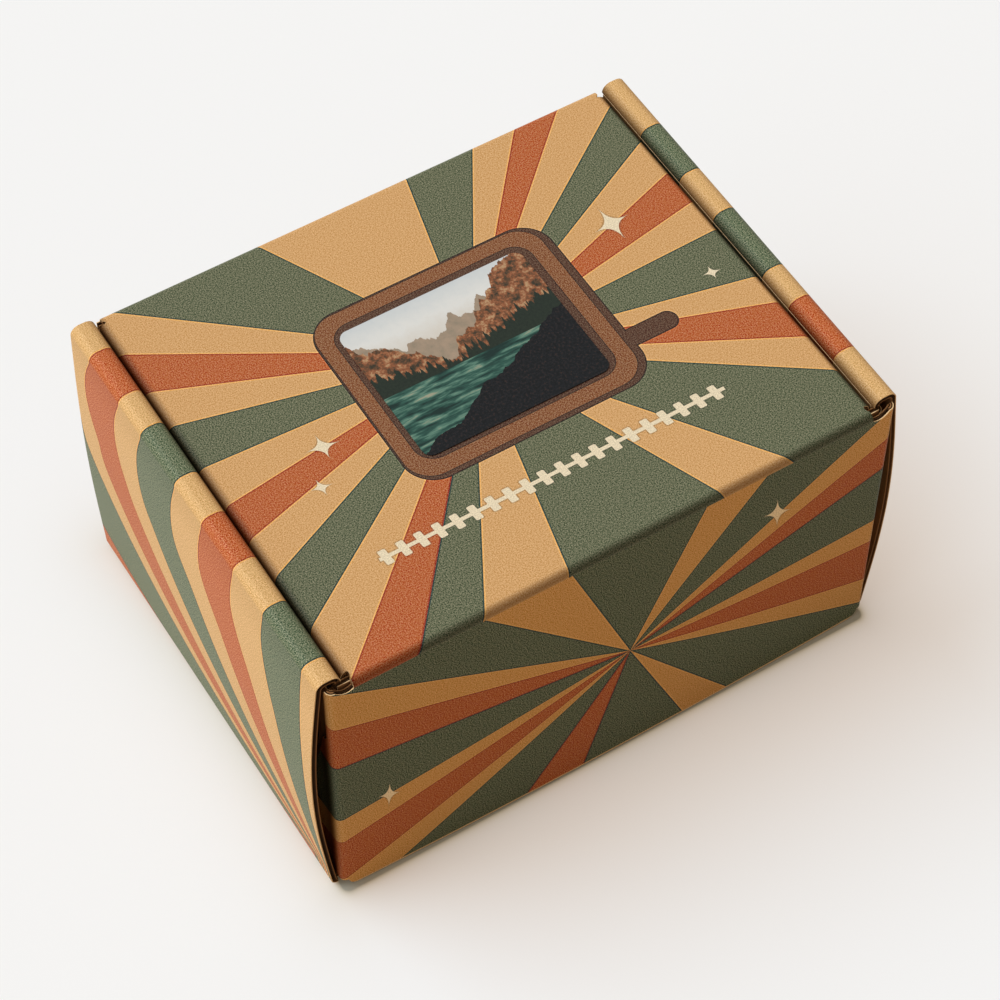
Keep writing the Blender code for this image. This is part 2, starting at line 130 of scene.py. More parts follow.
# Across and up on a panel's outer face, for each way that it can face
AXES = {
    "top": (X, Y), "bottom": (X, -Y),
    "front": (X, Z), "back": (-X, Z),
    "right": (Y, Z), "left": (-Y, Z),
}


def rgb(red, green, blue):
    """A screen colour from 0 to 255, as the shader's linear colour."""
    out = []
    for value in (red, green, blue):
        share = value / 255
        out.append(share / 12.92 if share <= 0.04045 else ((share + 0.055) / 1.055) ** 2.4)
    return (*out, 1.0)


INKS = (rgb(203, 157, 104), rgb(176, 97, 54), rgb(98, 101, 77))     # tan, rust, green
EDGES = (rgb(232, 176, 104), rgb(146, 52, 28), rgb(30, 62, 58))      # at a boundary
FLAP_INKS = (rgb(215, 161, 95), rgb(184, 102, 49), rgb(93, 102, 78))
SIDE_INKS = (rgb(211, 169, 114), rgb(185, 102, 58), rgb(104, 113, 88))
TAN, RUST, GREEN = 0, 1, 2
GREYS = ((0, 0, 0, 1), (0.5, 0.5, 0.5, 1), (1, 1, 1, 1))     # stand-ins that pick an ink
GREY_STEP = 0.1                 # two unlike ones differ by more than this
CREAM = rgb(224, 208, 178)
FLAP_CREAM = rgb(250, 228, 190)
FRAME_BODY = rgb(131, 87, 56)
FRAME_DARK = rgb(84, 58, 43)
FRAME_LINE = rgb(40, 26, 20)
KRAFT = rgb(146, 104, 66)
RAW_EDGE = rgb(232, 196, 148)
FLUTE = rgb(66, 44, 26)


def connect(tree, value, socket):
    """Set a socket from a colour, a number, a field or another socket."""
    if isinstance(value, Field):
        value = value.socket
    if isinstance(value, bpy.types.NodeSocket):
        tree.links.new(value, socket)
    else:
        socket.default_value = value


def add_node(tree, kind, inputs=None, **settings):
    """A new shader node, with its settings and what goes into it."""
    node = tree.nodes.new("ShaderNode" + kind)
    for name, value in settings.items():
        setattr(node, name, value)
    for name, value in (inputs or {}).items():
        connect(tree, value, node.inputs[name])
    return node


def mixed(tree, factor, first, second, blend="MIX"):
    """Two colours mixed."""
    inputs = {0: factor, 6: first, 7: second}
    return add_node(tree, "Mix", inputs, data_type="RGBA", blend_type=blend).outputs[2]


class Field:
    """A number that varies over a surface, worked out by math nodes."""

    def __init__(self, tree, socket):
        self.tree = tree
        self.socket = socket

    def math(self, operation, *others):
        inputs = dict(enumerate((self, *others)))
        return Field(self.tree, add_node(self.tree, "Math", inputs, operation=operation).outputs[0])

    def __add__(self, other):
        return self.math("ADD", other)

    def __sub__(self, other):
        return self.math("SUBTRACT", other)

    def __mul__(self, other):
        return self.math("MULTIPLY", other)

    def __truediv__(self, other):
        return self.math("DIVIDE", other)

    def __abs__(self):
        return self.math("ABSOLUTE")

    def below(self, other):
        return self.math("LESS_THAN", other)

    def above(self, other):
        return self.math("GREATER_THAN", other)

    def least(self, other):
        return self.math("MINIMUM", other)

    def most(self, other):
        return self.math("MAXIMUM", other)

    def power(self, other):
        return self.math("POWER", other)

    def upward(self, blur):
        """The number where it is positive and nothing where it is negative, with a soft bend."""
        return (self + (self * self + blur * blur).power(0.5)) * 0.5


class Painter:
    """Builds one material's node tree, over a panel's flat coordinates."""

    def __init__(self, name, roughness):
        self.material = bpy.data.materials.new(name)
        self.material.use_nodes = True
        self.tree = self.material.node_tree
        self.shader = self.tree.nodes["Principled BSDF"]
        self.shader.inputs["Roughness"].default_value = roughness
        self.place = self.node("UVMap", uv_map="flat").outputs[0]
        split = self.node("SeparateXYZ", {0: self.place})
        self.u = Field(self.tree, split.outputs[0])
        self.v = Field(self.tree, split.outputs[1])

    def node(self, kind, inputs=None, **settings):
        return add_node(self.tree, kind, inputs, **settings)

    def mix(self, factor, first, second, blend="MIX"):
        return mixed(self.tree, factor, first, second, blend)

    def ramp(self, value, stops, interpolation="CONSTANT"):
        """A colour picked from stops of (place, colour)."""
        node = self.node("ValToRGB", {0: value})
        node.color_ramp.interpolation = interpolation
        elements = node.color_ramp.elements
        elements[0].position, elements[0].color = stops[0]
        elements.remove(elements[1])
        for position, colour in stops[1:]:
            elements.new(position).color = colour
        return node.outputs[0]

    def noise(self, size, detail=2.0, stretch=(1, 1), roughness=0.5):
        """Noise whose blobs are about that many metres across."""
        scale = (stretch[0] / size, stretch[1] / size, 1)
        place = self.node("Mapping", {"Vector": self.place, "Scale": scale}).outputs[0]
        inputs = {"Vector": place, "Scale": 1, "Detail": detail, "Roughness": roughness}
        node = self.node("TexNoise", inputs, noise_dimensions="2D")
        return Field(self.tree, node.outputs["Fac"])

    def scaled(self, colour, factor):
        """A colour made brighter or darker."""
        if isinstance(colour, tuple):
            colour = colour[:3]
        return self.node("VectorMath", {0: colour, "Scale": factor}, operation="SCALE").outputs[0]

    def lightness(self, colour):
        """How light a colour is."""
        return Field(self.tree, self.node("RGBToBW", {0: colour}).outputs[0])

    def bump(self, height, depth):
        """Relief of that many metres between height 0 and 1."""
        node = self.node("Bump", {"Strength": 1.0, "Distance": depth, "Height": height})
        connect(self.tree, node.outputs[0], self.shader.inputs["Normal"])

    def finish(self, colour):
        connect(self.tree, colour, self.shader.inputs["Base Color"])
        return self.material


# The print. Angles of the rays are in degrees, counter-clockwise from the
# right, about the sunburst's middle; each gives the ink that starts there.
LID_BURST = (0.0012, FRONT + 0.1154)
LID_RAYS = (
    (0.5, TAN), (9.0, RUST), (17.4, TAN), (25.9, GREEN), (34.3, TAN), (43.2, RUST),
    (50.0, TAN), (57.9, GREEN), (75.9, TAN), (116.3, GREEN), (140.5, TAN), (148.1, RUST),
    (157.4, TAN), (165.9, GREEN), (176.4, TAN), (186.4, RUST), (195.4, TAN), (203.5, GREEN),
    (213.0, TAN), (221.8, RUST), (229.7, GREEN), (239.9, TAN), (257.3, GREEN), (292.0, TAN),
    (303.9, GREEN), (323.5, TAN), (331.1, RUST), (339.2, TAN), (347.3, GREEN),
)
FLAP_BURST = (0.0068, 0.0740)
FLAP_RAYS = (
    (16.0, RUST), (25.2, TAN), (32.2, GREEN), (50.6, TAN), (65.5, GREEN), (110.3, TAN),
    (131.2, GREEN), (150.1, TAN), (157.8, RUST), (169.8, GREEN), (185.8, TAN), (193.6, RUST),
    (204.3, TAN), (211.5, GREEN), (234.4, RUST), (252.0, GREEN), (292.2, TAN), (306.3, GREEN),
    (332.5, TAN), (339.6, RUST), (352.0, TAN), (359.0, GREEN),
)
RAY_EDGE = 0.0006               # width of the darker or lighter line along a boundary
GRAIN = 0.00055                 # size of the print's speckle
GRAIN_TINT = (0.70, 0.60, 0.43)
GRAIN_DEPTH = 0.00006
GRAIN_GAIN = 6.0                # it shows more on a lighter ink
GRAIN_LEAST = 0.25              # and this much on black
CREASE_SHADE = (0.09, 0.05, 0.035, 1.0)     # painted shade: what is left of the print's colour in a crease
LID_SHINE = 0.18
FLAP_SHINE = 0.06
SIDE_SHINE = 0.08
FLAP_GRAIN = 1.5                # strength of the grain, against the lid's
SIDE_GRAIN = 1.3

# Painted shade in strips along the creases and beside the rolls: how far past the crease, half width
# and darkness
FRONT_PAINTED_SHADE = (0.0008, 0.0036, 0.55)
LEFT_PAINTED_SHADE = (0.0006, 0.0050, 0.96)
RIGHT_PAINTED_SHADE = (0.0012, 0.0042, 0.96)
FOLD_PAINTED_SHADE = (0.0036, 0.0085, 0.94)
LEFT_ROLL_PAINTED_SHADE = (0.0004, 0.0042, 0.90)
RIGHT_ROLL_PAINTED_SHADE = (0.0004, 0.0072, 0.90)
PAINTED_SHADE_FADE = 1.6                  # above 1, they fade sooner


def ink_at(paint, place, before, after, stops):
    """Which ink lies at a place, and whether it changes between the two places beside it."""
    here, before, after = [Field(paint.tree, paint.ramp(at, stops)) for at in (place, before, after)]
    return here, abs(before - after).above(GREY_STEP)


def sunburst(paint, centre, rays):
    """Which ink lies where, and whether a boundary is near."""
    across = paint.u - centre[0]
    up = paint.v - centre[1]
    turn = (up.math("ARCTAN2", across) / math.tau).math("FRACT")
    radius = (across * across + up * up).power(0.5)
    step = radius.power(-1.0) * (RAY_EDGE / math.tau)
    stops = [(0.0, GREYS[rays[-1][1]])] + [(angle / 360, GREYS[ink]) for angle, ink in rays]
    return ink_at(paint, turn, (turn - step).math("FRACT"), (turn + step).math("FRACT"), stops)


def inked(paint, ink, edge, inks):
    """The colour of the sunburst's ink, with its fine edge lines."""
    bounds = (0.0, 0.25, 0.75)
    body = paint.ramp(ink, list(zip(bounds, inks)))
    line = paint.ramp(ink, list(zip(bounds, EDGES)))
    return paint.mix(edge, body, line)


def speckled(paint, colour, strength):
    """The paper's grain, which shows through the ink."""
    grain = paint.noise(GRAIN, detail=2, roughness=0.6)
    light = (paint.lightness(colour) * GRAIN_GAIN + GRAIN_LEAST).least(1.0)
    lift = paint.scaled(GRAIN_TINT, (grain - 0.5) * light * strength)
    paint.bump(grain, GRAIN_DEPTH)
    return paint.node("VectorMath", {0: colour, 1: lift}, operation="ADD").outputs[0]


def rounded(du, dv, half_u, half_v, corner):
    """Distance from a rounded rectangle's outline, negative inside, for a place beside its middle."""
    du, dv = abs(du) - (half_u - corner), abs(dv) - (half_v - corner)
    out_u, out_v = du.most(0.0), dv.most(0.0)
    outside = (out_u * out_u + out_v * out_v).power(0.5)
    return outside + du.most(dv).least(0.0) - corner


def sparkle(paint, centre, first, second):
    """Negative inside a four-pointed star with hollow sides, from its middle and two arms."""
    du, dv = paint.u - centre[0], paint.v - centre[1]
    size = first[0] * second[1] - first[1] * second[0]
    along = abs(du * (second[1] / size) - dv * (second[0] / size))
    across = abs(dv * (first[0] / size) - du * (first[1] / size))
    return along.power(STAR_HOLLOW) + across.power(STAR_HOLLOW) - 1.0


# Ornaments on the lid, from its middle and from the front, as centres and half sizes
FRAME = ((0.0035, 0.1150), (0.0581, 0.0498), 0.0150)
FRAME_BODY_BOX = ((0.0021, 0.1159), (0.0555, 0.0477), 0.0125)
FRAME_OPENING = ((0.0018, 0.1161), (0.0481, 0.0402), 0.0090)
TAB = ((0.0710, 0.0874), (0.0134, 0.0050), 0.0050)
ZIP_PLACE = 0.0449
ZIP_SPAN = (-0.0859, 0.0797)
ZIP_FIRST = -0.0830
ZIP_PITCH = 0.00832
ZIP_TEETH = 20
TOOTH_HALF_WIDTH = 0.00175
TOOTH_HALF_HEIGHT = 0.0039
TOOTH_CORNER = 0.0007
TOOTH_LEAN = -0.09
BAR_HALF = 0.0009
STRAP_LINE = 0.0006             # width of the halo and of the line round the strap and its tab
WINDOW_LINE = 0.0004            # width of the lines inside it
ZIP_LINE = 0.0005
HALO_LIGHT = 1.18               # the print is this much lighter in the halo
LINE_LIGHT = 0.72               # and darker in the line round a cream ornament
STAR_LINE = 0.10                # width of that line round a star, as a share of its arms
STAR_HOLLOW = 0.47              # below 1, a star's sides curve inwards

# Stars: the middle, and the two arms from it
LID_STARS = (
    ((0.0883, 0.1446), (0.0092, 0.0006), (-0.0005, 0.0110)),
    ((0.1100, 0.0993), (0.0051, -0.0008), (0.0003, 0.0044)),
    ((-0.0774, 0.1056), (0.0080, -0.0012), (0.0003, 0.0072)),
    ((-0.0880, 0.0881), (0.0053, -0.0009), (-0.0001, 0.0052)),
)
FLAP_STARS = (
    ((-0.1110, 0.0590), (0.0056, -0.0025), (0.0006, 0.0102)),
    ((0.0783, 0.1207), (0.0080, -0.0027), (-0.0007, 0.0110)),
)
WORN_EDGE = 0.0009              # the ink is worn off along the front flap's lower edge


def printed(paint, centre, rays, stars, cream, base=0.0, inks=INKS):
    """Sunburst with cream stars."""
    ink, edge = sunburst(paint, centre, rays)
    colour = inked(paint, ink, edge, inks)
    for (u, v), first, second in stars:
        shape = sparkle(paint, (u, v + base), first, second)
        colour = paint.mix(shape.below(STAR_LINE), colour, paint.scaled(colour, LINE_LIGHT))
        colour = paint.mix(shape.below(0.0), colour, cream)
    return colour


def finish_print(paint, colour, creases=(), strength=1.0, shine=LID_SHINE):
    """Grain, and painted shade along creases given as (distance, width, depth), where the print is
    also made dull.
    """
    colour = speckled(paint, colour, strength)
    for distance, width, depth in creases:
        # Painted shade: the print darkens towards each crease
        near = distance / width
        near = (near * near * -1.0 + 1.0).most(0.0).power(PAINTED_SHADE_FADE) * depth
        colour = paint.mix(near, colour, CREASE_SHADE, "MULTIPLY")
        shine = (near * -1.0 + 1.0) * shine
    connect(paint.tree, shine, paint.shader.inputs["Specular IOR Level"])
    return paint.finish(colour)


def flat_box(paint, box):
    """Distance from one of the lid's rounded ornaments."""
    (u, v), (half_u, half_v), corner = box
    return rounded(paint.u - u, paint.v - (FRONT + v), half_u, half_v, corner)


def lid_material():
    """The lid's print: sunburst, framed window, tab, zip and stars, with painted shade along its
    creases.
    """
    paint = Painter("lid_print", 0.5)
    colour = printed(paint, LID_BURST, LID_RAYS, LID_STARS, CREAM, FRONT)

    # A pale halo, a near-black line and a dark strap
    both = flat_box(paint, TAB).least(flat_box(paint, FRAME))
    colour = paint.mix(both.below(STRAP_LINE), colour, paint.scaled(colour, HALO_LIGHT))
    colour = paint.mix(both.below(0.0), colour, FRAME_LINE)
    colour = paint.mix(both.below(-STRAP_LINE), colour, FRAME_DARK)

    # The frame's body sits a little up and to the left of its dark border
    inside = flat_box(paint, FRAME_BODY_BOX)
    colour = paint.mix(inside.below(WINDOW_LINE), colour, FRAME_LINE)
    colour = paint.mix(inside.below(0.0), colour, FRAME_BODY)
    hole = flat_box(paint, FRAME_OPENING)
    colour = paint.mix(hole.below(WINDOW_LINE), colour, FRAME_LINE)
    colour = paint.mix(hole.below(0.0), colour, FRAME_DARK)

    # The zip: a bar, and teeth that lean a little
    along, high_up = paint.u, paint.v - (FRONT + ZIP_PLACE)
    middle, half = (ZIP_SPAN[0] + ZIP_SPAN[1]) / 2, (ZIP_SPAN[1] - ZIP_SPAN[0]) / 2
    bar = (abs(high_up) - BAR_HALF).most(abs(along - middle) - half)
    local = (((along - ZIP_FIRST) / ZIP_PITCH + 0.5).math("FRACT") - 0.5) * ZIP_PITCH
    tooth = rounded(local - high_up * TOOTH_LEAN, high_up,
                    TOOTH_HALF_WIDTH, TOOTH_HALF_HEIGHT, TOOTH_CORNER)
    middle, half = ZIP_FIRST + (ZIP_TEETH - 1) * ZIP_PITCH / 2, ZIP_TEETH * ZIP_PITCH / 2
    tooth = tooth.most(abs(along - middle) - half)
    zip_shape = bar.least(tooth)
    colour = paint.mix(zip_shape.below(ZIP_LINE), colour, paint.scaled(colour, LINE_LIGHT))
    colour = paint.mix(zip_shape.below(0.0), colour, CREAM)

    # Painted shade along the front crease, and along the side creases in the grooves beside the rolls
    front = (abs(paint.v - (FRONT + FRONT_PAINTED_SHADE[0])), *FRONT_PAINTED_SHADE[1:])
    left = (abs(paint.u + (LID_SIDE + LEFT_PAINTED_SHADE[0])), *LEFT_PAINTED_SHADE[1:])
    right = (abs(paint.u - (LID_SIDE + RIGHT_PAINTED_SHADE[0])), *RIGHT_PAINTED_SHADE[1:])
    return finish_print(paint, colour, (front, left, right))


def flap_material():
    """The front's print, with a worn lower edge and painted shade along its corner folds."""
    paint = Painter("flap_print", 0.5)
    colour = printed(paint, FLAP_BURST, FLAP_RAYS, FLAP_STARS, FLAP_CREAM, inks=FLAP_INKS)
    colour = paint.mix((paint.v - FLAP_LOW).below(WORN_EDGE), colour, RAW_EDGE)
    # Painted shade along the corner folds, where the flap meets the side walls
    folds = (abs(abs(paint.u) - (EAR_OUT - FOLD + QUARTER + FOLD_PAINTED_SHADE[0])), *FOLD_PAINTED_SHADE[1:])
    return finish_print(paint, colour, (folds,), FLAP_GRAIN, FLAP_SHINE)


# Bands of the side walls, from back to front along the shoulder, as shares of its length
LEFT_BANDS = (
    (-0.9, RUST), (-0.30, GREEN), (-0.005, TAN), (0.079, RUST), (0.208, TAN), (0.301, GREEN),
    (0.440, TAN), (0.549, RUST), (0.679, TAN), (0.790, GREEN), (0.938, TAN),
)
RIGHT_BANDS = (
    (-0.9, RUST), (-0.30, GREEN), (-0.005, TAN), (0.150, GREEN), (0.304, TAN), (0.423, GREEN),
    (0.608, TAN), (0.703, RUST), (0.856, TAN),
)

# How they sweep forwards down the wall, in shares of its height and depth
SWEEP_START = 0.46              # a band at the back turns at this share of the way down
SWEEP_LEAD = 0.455              # and one at the front sooner by this
SWEEP_SLOPE = 0.53              # slope of the sweep at the back
SWEEP_GAIN = 0.54               # what is added to it towards the front
SWEEP_BLUR = 0.05
SWEEP_MOST = 0.95
ARCH_HEIGHT = 0.34              # above the sweep, the bands arch back over this height
ARCH_SIZE = 1.5
ARCH_BLUR = 0.008
PAINTED_SHEEN_LIFT = 0.10                # painted sheen: the wall is this much lighter than its roll
PAINTED_SHEEN_SHARE = 0.02                # and has this share of the sheen's pale colour
WALL_FADE = 0.125               # both come in over this share of its height
PAINTED_SHEEN_COLOUR = rgb(226, 216, 192)


def side_material(name, bands, shoulder_shade):
    """The side walls' bands, straight across the roll and swept forwards down the wall, with a
    painted sheen on the wall and painted shade along the roll's inner shoulder.
    """
    paint = Painter(name, 0.46)
    depth = ROLL_BACK - ROLL_FRONT
    down = ((paint.v * -1.0 + ROLL_LEG) / ROLL_LEG).most(0.0).least(1.0)
    share = (paint.u * -1.0 + ROLL_BACK) / depth
    onset = (share * SWEEP_LEAD + down - SWEEP_START).upward(SWEEP_BLUR)
    arch = (down * (down * -1.0 + ARCH_HEIGHT)).upward(ARCH_BLUR)
    sweep = (onset * (share * SWEEP_GAIN + SWEEP_SLOPE) - arch * ARCH_SIZE).least(SWEEP_MOST)
    start = (share - sweep) / (sweep * -1.0 + 1.0)
    place = (start + 1.0) / 2.0
    step = (sweep * -1.0 + 1.0).power(-1.0) * (RAY_EDGE / depth / 2)
    stops = [(0.0, GREYS[bands[0][1]])] + [((at + 1) / 2, GREYS[ink]) for at, ink in bands]
    ink, edge = ink_at(paint, place, place - step, place + step, stops)
    colour = inked(paint, ink, edge, SIDE_INKS)
    # Painted sheen: the wall below the roll is lighter and paler
    lower = (down / WALL_FADE).least(1.0)
    colour = paint.mix(lower * PAINTED_SHEEN_SHARE, paint.scaled(colour, lower * PAINTED_SHEEN_LIFT + 1.0), PAINTED_SHEEN_COLOUR)
    # Painted shade along the roll's inner shoulder, beside the lid
    place, width, dark = shoulder_shade
    shoulder = (abs(paint.v - (ROLL_END + place)), width, dark)
    return finish_print(paint, colour, (shoulder,), SIDE_GRAIN, SIDE_SHINE)


FIBRE = 0.0016                  # width of the kraft's fibres
FIBRE_DEPTH = 0.00008
FIBRE_SHADE = 0.45
RIM_SHADE = 0.30
SPOT = 0.0150                   # size of its spots
SPOT_SHADE = 0.25


def kraft_material(name, colour, shade=FIBRE_SHADE):
    """Bare kraft board with its fibres."""
    paint = Painter(name, 0.85)
    fibres = paint.noise(FIBRE, detail=4, stretch=(0.25, 1.0), roughness=0.7)
    spots = paint.noise(SPOT, detail=2)
    light = (fibres - 0.5) * shade + (spots - 0.5) * SPOT_SHADE + 1.0
    paint.bump(fibres, FIBRE_DEPTH)
    paint.shader.inputs["Specular IOR Level"].default_value = 0.1
    return paint.finish(paint.scaled(colour, light))


# The picture, in shares of its sides. A skyline has its height, how many hills it has and how high
# they are, a seed, and how much it rises away from the valley, or the shore from the left
FAR_HILLS = (0.70, 7, 0.30, 3.0, 0.35)
NEAR_HILLS = (0.52, 9, 0.30, 11.0, 0.95)
PINES = (0.50, 34, 0.26, 5.0, 0.30)
SHORE = (0.02, 6, 0.14, 20.0, 0.52)
VALLEY = 0.40                   # the hills are lowest here
WATER_LINE = 0.47
BLOTCH = 0.0045                 # sizes of its noise, in metres
LEAF = 0.0012
RIPPLE = 0.0050


def ridge(paint, across, slope, base, size, height, seed, rise):
    """Height of an uneven skyline at each place across the picture."""
    inputs = {"W": across + seed, "Scale": size, "Detail": 5}
    node = paint.node("TexNoise", inputs, noise_dimensions="1D")
    return (Field(paint.tree, node.outputs["Fac"]) - 0.5) * height + base + slope * rise


def picture_material():
    """A glossy print of a lake between autumn hills, seen from a dark shore."""
    paint = Painter("picture", 0.25)
    across = (paint.u - PRINT_LOW.x) / (PRINT_HIGH.x - PRINT_LOW.x)
    up = (paint.v - PRINT_LOW.y) / (PRINT_HIGH.y - PRINT_LOW.y)
    blotch = paint.noise(BLOTCH, detail=5, roughness=0.65)
    fine = paint.noise(LEAF, detail=4, roughness=0.7)

    sky = [(0.6, rgb(196, 184, 168)), (0.85, rgb(214, 213, 209)), (1.0, rgb(196, 200, 201))]
    colour = paint.ramp(up + (blotch - 0.5) * 0.12, sky, "LINEAR")
    slope = abs(across - VALLEY)
    far = ridge(paint, across, slope, *FAR_HILLS)
    hazy = paint.mix(blotch, rgb(176, 150, 128), rgb(122, 116, 100))
    colour = paint.mix(up.below(far), colour, hazy)
    near = ridge(paint, across, slope, *NEAR_HILLS)
    autumn = [(0.30, rgb(44, 44, 34)), (0.42, rgb(92, 66, 46)), (0.54, rgb(140, 84, 54)),
              (0.68, rgb(176, 140, 104))]
    leaves = paint.ramp(blotch + (fine - 0.5) * 0.4, autumn, "LINEAR")
    colour = paint.mix(up.below(near), colour, leaves)
    pines = ridge(paint, across, slope, *PINES)
    colour = paint.mix(up.below(pines), colour, paint.mix(fine, rgb(14, 24, 22), rgb(44, 54, 42)))

    ripples = paint.noise(RIPPLE, detail=4, stretch=(0.25, 1.6), roughness=0.6)
    water = [(0.36, rgb(20, 44, 40)), (0.5, rgb(44, 82, 72)), (0.62, rgb(92, 128, 112)),
             (0.72, rgb(150, 150, 128))]
    colour = paint.mix(up.below(WATER_LINE), colour, paint.ramp(ripples, water, "LINEAR"))
    shore = ridge(paint, across, across, *SHORE)
    rock = [(0.42, rgb(8, 10, 12)), (0.56, rgb(18, 22, 27)), (0.70, rgb(50, 34, 28))]
    colour = paint.mix(up.below(shore), colour, paint.ramp(fine, rock, "LINEAR"))
    paint.shader.inputs["Specular IOR Level"].default_value = 0.1
    paint.shader.inputs["Coat Weight"].default_value = 0.2
    paint.shader.inputs["Coat Roughness"].default_value = 0.08
    return paint.finish(colour)


MATERIALS = {}


def make_materials():
    """Every material, by the place that it is for."""
    MATERIALS["lid"] = lid_material()
    MATERIALS["flap"] = flap_material()
    paint = Painter("back_print", 0.5)
    rays = printed(paint, (0.0, FLAP_BURST[1]), FLAP_RAYS, (), CREAM)
    MATERIALS["back"] = finish_print(paint, rays)
    MATERIALS["left"] = side_material("left_print", LEFT_BANDS, LEFT_ROLL_PAINTED_SHADE)
    MATERIALS["right"] = side_material("right_print", RIGHT_BANDS, RIGHT_ROLL_PAINTED_SHADE)
    MATERIALS["kraft"] = kraft_material("kraft_liner", KRAFT)
    MATERIALS["rim"] = kraft_material("raw_edge", RAW_EDGE, RIM_SHADE)
    MATERIALS["flute"] = kraft_material("fluted_paper", FLUTE)
    MATERIALS["picture"] = picture_material()


def cut_region(outline, holes=(), cuts=((), ())):
    """A flat piece of sheet in its own coordinates, cut where it will bend."""
    bm = bmesh.new()
    bm.faces.new([bm.verts.new((u, v, 0)) for u, v in outline])
    lines = [set(cuts[0]), set(cuts[1])]
    for (u_low, v_low), (u_high, v_high) in holes:
        lines[0] |= {u_low, u_high}
        lines[1] |= {v_low, v_high}
    for axis, normal in ((0, (1, 0, 0)), (1, (0, 1, 0))):
        for place in sorted(lines[axis]):
            co = (place, 0, 0) if axis == 0 else (0, place, 0)
            whole = [*bm.verts, *bm.edges, *bm.faces]
            bmesh.ops.bisect_plane(bm, geom=whole, plane_co=co, plane_no=normal, dist=CUT_REACH)
    for (u_low, v_low), (u_high, v_high) in holes:
        inside = [face for face in bm.faces
                  if u_low < face.calc_center_median().x < u_high
                  and v_low < face.calc_center_median().y < v_high]
        bmesh.ops.delete(bm, geom=inside, context="FACES")
    return bm


def add_layer(bm, region, place, top, bottom, slots, uv):
    """Add one closed sheet between two depths under the outer skin."""
    layer = bm.loops.layers.uv["flat"]
    skins = []
    for depth in (top, bottom):
        skins.append({vert: bm.verts.new(place(vert.co.x, vert.co.y, depth(vert.co.x, vert.co.y)))
                      for vert in region.verts})
    flat = {}
    for skin in skins:
        for vert, made in skin.items():
            flat[made] = uv(vert.co.x, vert.co.y)

    def add_face(verts, slot):
        face = bm.faces.new(verts)
        face.material_index = slot
        for loop in face.loops:
            loop[layer].uv = flat[loop.vert]

    upper, lower = skins
    for face in region.faces:
        add_face([upper[vert] for vert in face.verts], slots[0])
        add_face([lower[vert] for vert in reversed(face.verts)], slots[1])
    for edge in region.edges:
        if len(edge.link_faces) == 1:
            face = edge.link_faces[0]
            corners = list(face.verts)
            first, second = [vert for vert in corners if vert in edge.verts]
            if corners.index(second) != (corners.index(first) + 1) % len(corners):
                first, second = second, first
            add_face([upper[second], upper[first], lower[first], lower[second]], slots[2])


def same(u, v):
    """Print coordinates that are the panel's own."""
    return u, v


def make_object(name, bm, materials):
    """An object from finished layers."""
    bmesh.ops.recalc_face_normals(bm, faces=bm.faces)
    mesh = bpy.data.meshes.new(name)
    bm.to_mesh(mesh)
    bm.free()
    for key in materials:
        mesh.materials.append(MATERIALS[key])
    obj = bpy.data.objects.new(name, mesh)
    bpy.context.scene.collection.objects.link(obj)
    return obj


def make_board(name, outline, place, outer, rim="rim", holes=(), cuts=((), ()), flutes="v",
               uv=same):
    """A piece of corrugated board: two liners and the fluted sheet between them.

    flutes names the coordinate along which the flutes follow each other, or is
    None where a crease has crushed them flat.
    """
    bm = bmesh.new()
    bm.loops.layers.uv.new("flat")
    region = cut_region(outline, holes, cuts)
    add_layer(bm, region, place, lambda u, v: 0, lambda u, v: LINER, (0, 1, 2), uv)
    add_layer(bm, region, place, lambda u, v: BOARD - LINER, lambda u, v: BOARD, (1, 1, 1), uv)
    if not flutes:
        add_layer(bm, region, place, lambda u, v: BOARD / 2 - FLUTE_PAPER,
                  lambda u, v: BOARD / 2 + FLUTE_PAPER, (3, 3, 1), uv)
    region.free()
    if flutes:
        axis = 0 if flutes == "u" else 1
        span = [point[axis] for point in outline]
        count = int((max(span) - min(span)) / FLUTE_PITCH * WAVE_STEPS)
        waves = [min(span) + (k + 0.5) * FLUTE_PITCH / WAVE_STEPS for k in range(count)]
        fine = list(cuts)
        fine[axis] = sorted({*cuts[axis], *waves})
        region = cut_region(outline, holes, fine)
        swing = BOARD / 2 - LINER - FLUTE_PAPER / 2

        def middle(u, v):
            along = u if axis == 0 else v
            return BOARD / 2 + swing * math.cos(math.tau * (along - min(span)) / FLUTE_PITCH)

        add_layer(bm, region, place, lambda u, v: middle(u, v) - FLUTE_PAPER / 2,
                  lambda u, v: middle(u, v) + FLUTE_PAPER / 2, (3, 3, 3), uv)
        region.free()
    obj = make_object(name, bm, (outer, "kraft", rim, "flute"))
    obj.data.shade_smooth()
    obj.data.set_sharp_from_angle(angle=SHARP_ANGLE)
    return obj


def panel_skin(node, facing):
    """Outline and holes of a packed panel's flat outer skin, and its level."""
    u_axis, v_axis = AXES[facing]
    normal = u_axis.cross(v_axis)
    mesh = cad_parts[node].data
    level = max(vert.co.dot(normal) for vert in mesh.vertices)
    follow = {}
    for face in mesh.polygons:
        if face.normal.dot(normal) < SAME_WAY or level - face.center.dot(normal) > SAME_LEVEL:
            continue
        corners = [mesh.vertices[index].co for index in face.vertices]
        flat = [(round(co.dot(u_axis), 6), round(co.dot(v_axis), 6)) for co in corners]
        for k, point in enumerate(flat):
            follow[(point, flat[(k + 1) % len(flat)])] = True
    edges = {a: b for a, b in follow if (b, a) not in follow}
    loops = []
    while edges:
        start, point = edges.popitem()
        loop = [start]
        while point != start:
            loop.append(point)
            point = edges.pop(point)
        loops.append(straightened(loop))
    loops.sort(key=lambda loop: max(p[0] for p in loop) - min(p[0] for p in loop), reverse=True)
    boxes = [((min(p[0] for p in loop), min(p[1] for p in loop)),
              (max(p[0] for p in loop), max(p[1] for p in loop))) for loop in loops[1:]]
    return loops[0], boxes, level


